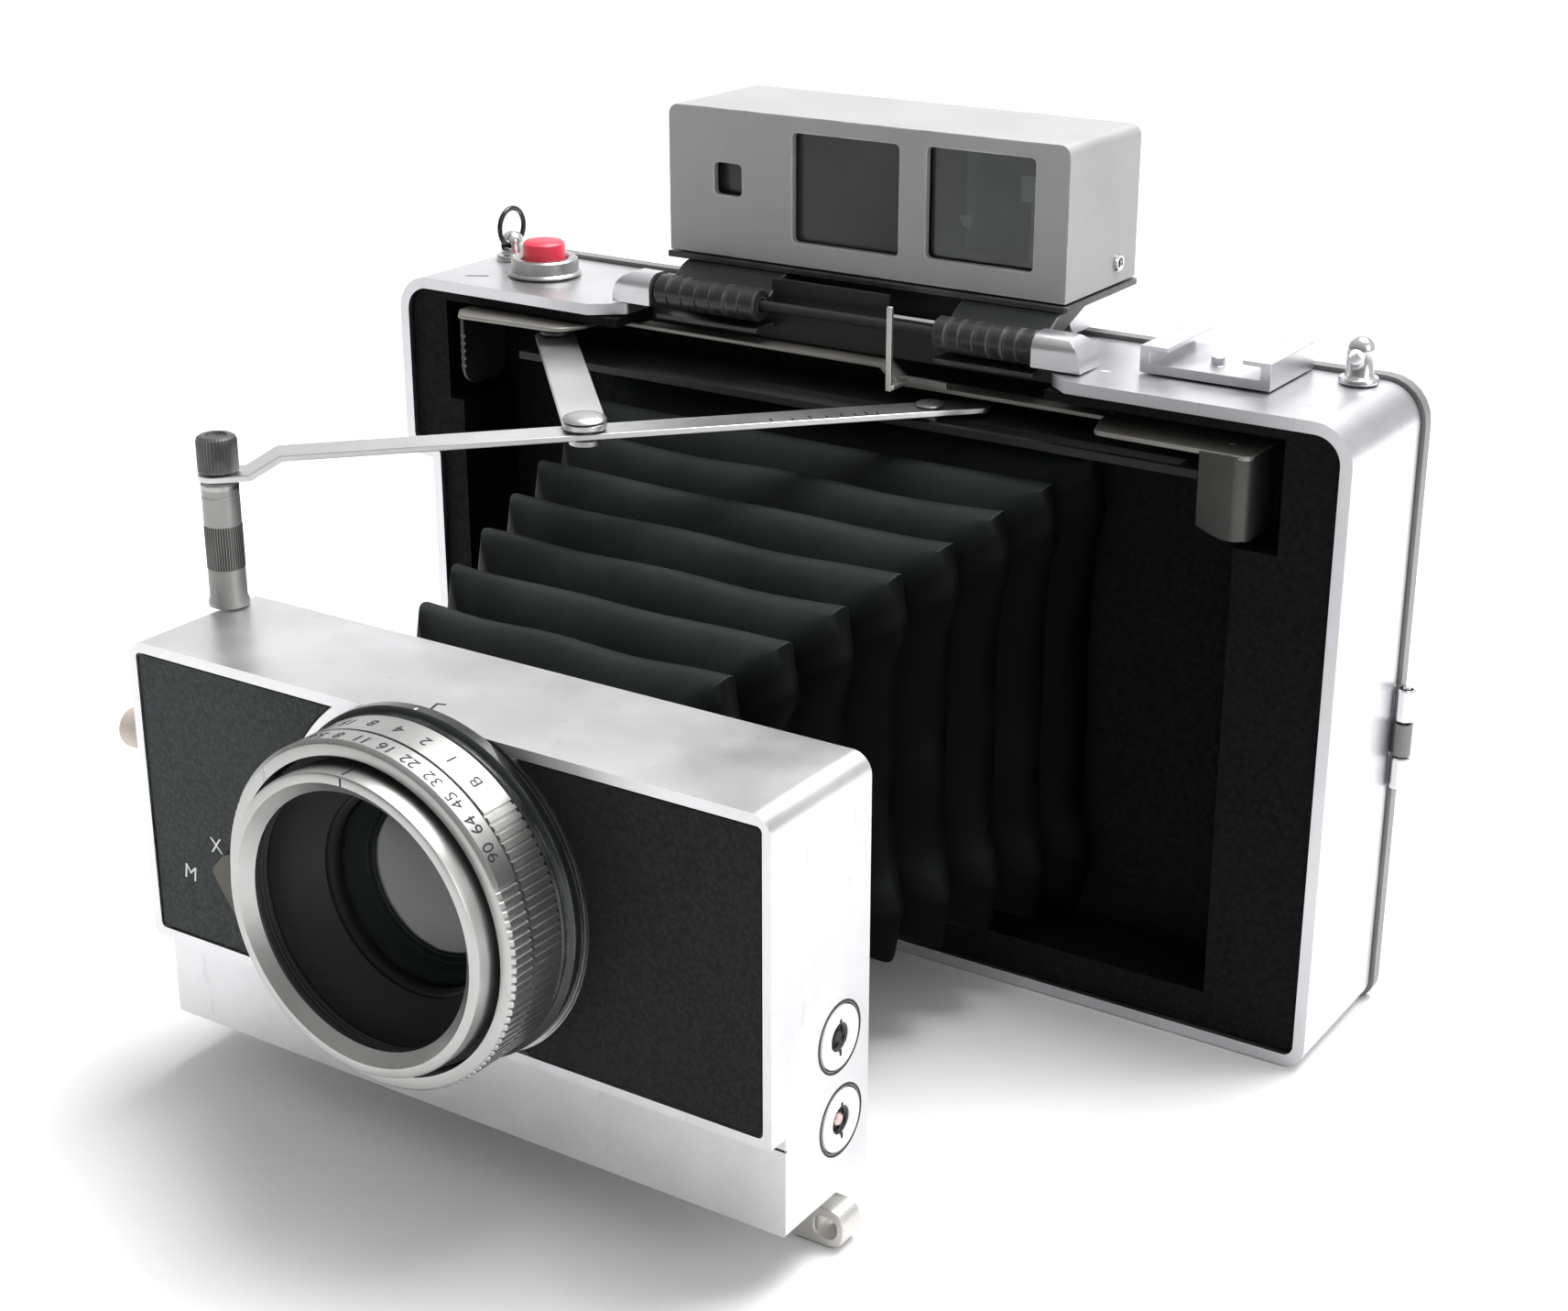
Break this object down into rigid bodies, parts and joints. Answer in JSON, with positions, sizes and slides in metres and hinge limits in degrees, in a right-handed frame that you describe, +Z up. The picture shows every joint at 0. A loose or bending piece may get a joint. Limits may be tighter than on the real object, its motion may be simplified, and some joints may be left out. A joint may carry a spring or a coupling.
{
  "type": "folding instant pack-film camera",
  "caption": "Folding bellows camera with a flip-up finder, a lens standard on a folding strut linkage, two setting rings and a hinged film door.",
  "frame": {"origin": "middle of the body's flat bottom face, halfway across its width and depth", "axes": "+X to the viewer's left, seen from the front as right; -Y towards the subject, where the lens points; +Z up"},
  "size_m": [0.1915, 0.1616, 0.1427],
  "materials": {
    "aluminium": "brushed satin",
    "satin_grey": "satin",
    "bright_steel": "polished",
    "black_metal": "satin",
    "leatherette": "fine grain",
    "bellows_cloth": "semi-matt coated",
    "dark_plastic": "matt",
    "red_plastic": "gloss",
    "beige_plastic": "satin",
    "glass": "clear, coated"
  },
  "bodies": {
    "housing": {"housing_shell": "aluminium", "front_panel": "leatherette", "bellows": "bellows_cloth", "film_gate": "black_metal", "roller_frame": "bright_steel", "tripod_socket": "bright_steel", "lug_left": "bright_steel", "lug_right": "bright_steel", "accessory_shoe": "satin_grey", "release_collar": "bright_steel", "hinge_bracket_left": "aluminium", "hinge_bracket_right": "aluminium", "finder_hinge_pin": "black_metal", "guide_rail": "black_metal", "link_pivot_post": "bright_steel", "door_knuckle_low": "dark_plastic", "door_knuckle_high": "dark_plastic", "door_hinge_pin": "bright_steel"},
    "link": {"fold_link": "aluminium", "link_rivet": "bright_steel"},
    "strut": {"fold_strut": "aluminium", "strut_guide_pin": "bright_steel"},
    "front_standard": {"standard_case": "aluminium", "panel_left": "leatherette", "panel_right": "leatherette", "cable_socket": "bright_steel", "sync_socket": "bright_steel", "front_foot": "bright_steel", "lens_base_ring": "black_metal", "lens_barrel": "black_metal", "front_ring": "bright_steel", "front_element": "glass", "diaphragm": "black_metal", "rear_element": "glass", "post": "satin_grey", "post_cap": "black_metal"},
    "shutter_dial": {"shutter_ring": "bright_steel"},
    "aperture_dial": {"aperture_ring": "bright_steel"},
    "sync_selector": {"sync_lever": "satin_grey"},
    "knob": {"side_knob": "beige_plastic"},
    "release": {"release_button": "red_plastic"},
    "focus_slide": {"focus_bar": "satin_grey", "focus_tab_left": "satin_grey", "focus_tab_right": "satin_grey", "rangefinder_lever": "bright_steel"},
    "finder": {"finder_shell": "satin_grey", "finder_base": "black_metal", "finder_window_small": "glass", "finder_window_middle": "glass", "finder_window_large": "glass", "finder_mirror": "glass", "finder_eyepiece": "black_metal", "finder_screw": "bright_steel"},
    "door": {"door_frame": "dark_plastic", "door_panel": "dark_plastic", "pack_spring": "bright_steel"},
    "latch": {"door_latch": "satin_grey"},
    "ring": {"strap_ring": "black_metal"},
    "front_roller": {"roller_front": "bright_steel"},
    "rear_roller": {"roller_rear": "bright_steel"}
  },
  "joints": [
    {"name": "fold", "type": "hinge", "parent": "housing", "child": "link", "pos_m": [-0.0598, -0.0101, 0.1001], "axis": [0, 0, 1], "range_deg": [0, 41], "deforming": ["bellows"]},
    {"name": "strut_turn", "type": "hinge", "parent": "link", "child": "strut", "pos_m": [-0.02073, -0.05229, 0.099], "axis": [0, 0, 1], "range_deg": [-82, 0]},
    {"name": "standard_turn", "type": "hinge", "parent": "strut", "child": "front_standard", "pos_m": [-0.0598, -0.09448, 0.075], "axis": [0, 0, 1], "range_deg": [0, 41]},
    {"name": "shutter_turn", "type": "hinge", "parent": "front_standard", "child": "shutter_dial", "pos_m": [-0.0025, -0.121, 0.0497], "axis": [0, 1, 0], "range_deg": [-70, 70]},
    {"name": "aperture_turn", "type": "hinge", "parent": "front_standard", "child": "aperture_dial", "pos_m": [-0.0025, -0.127, 0.0497], "axis": [0, 1, 0], "range_deg": [-70, 70]},
    {"name": "sync_turn", "type": "hinge", "parent": "front_standard", "child": "sync_selector", "pos_m": [-0.0025, -0.1151, 0.0497], "axis": [0, 1, 0], "range_deg": [0, 12]},
    {"name": "knob_turn", "type": "hinge", "parent": "front_standard", "child": "knob", "pos_m": [-0.062, -0.1098, 0.0575], "axis": [1, 0, 0], "range_deg": [-45, 45]},
    {"name": "release_slide", "type": "slide", "parent": "housing", "child": "release", "axis": [0, 0, -1], "range_m": [0, 0.0016], "stiffness_N_per_m": 300},
    {"name": "focus_move", "type": "slide", "parent": "housing", "child": "focus_slide", "axis": [1, 0, 0], "range_m": [-0.004, 0.004]},
    {"name": "finder_tilt", "type": "hinge", "parent": "housing", "child": "finder", "pos_m": [0, -0.0071, 0.1109], "axis": [1, 0, 0], "range_deg": [0, 115]},
    {"name": "door_swing", "type": "hinge", "parent": "housing", "child": "door", "pos_m": [0.0948, 0.01435, 0.049], "axis": [0, 0, -1], "range_deg": [0, 110]},
    {"name": "latch_slide", "type": "slide", "parent": "housing", "child": "latch", "axis": [0, 0, 1], "range_m": [0, 0.006]},
    {"name": "ring_swing", "type": "hinge", "parent": "housing", "child": "ring", "pos_m": [-0.0831, 0.0071, 0.11095], "axis": [0, 1, 0], "range_deg": [-85, 85]},
    {"name": "front_roller_turn", "type": "hinge", "parent": "housing", "child": "front_roller", "pos_m": [-0.078, 0.0095, 0.039], "axis": [0, 0, 1], "continuous": true},
    {"name": "rear_roller_turn", "type": "hinge", "parent": "housing", "child": "rear_roller", "pos_m": [-0.078, 0.0172, 0.039], "axis": [0, 0, 1], "continuous": true}
  ],
  "couplings": [
    {"joint": "strut_turn", "follows": "fold", "ratio": -2},
    {"joint": "standard_turn", "follows": "fold", "ratio": 1}
  ]
}
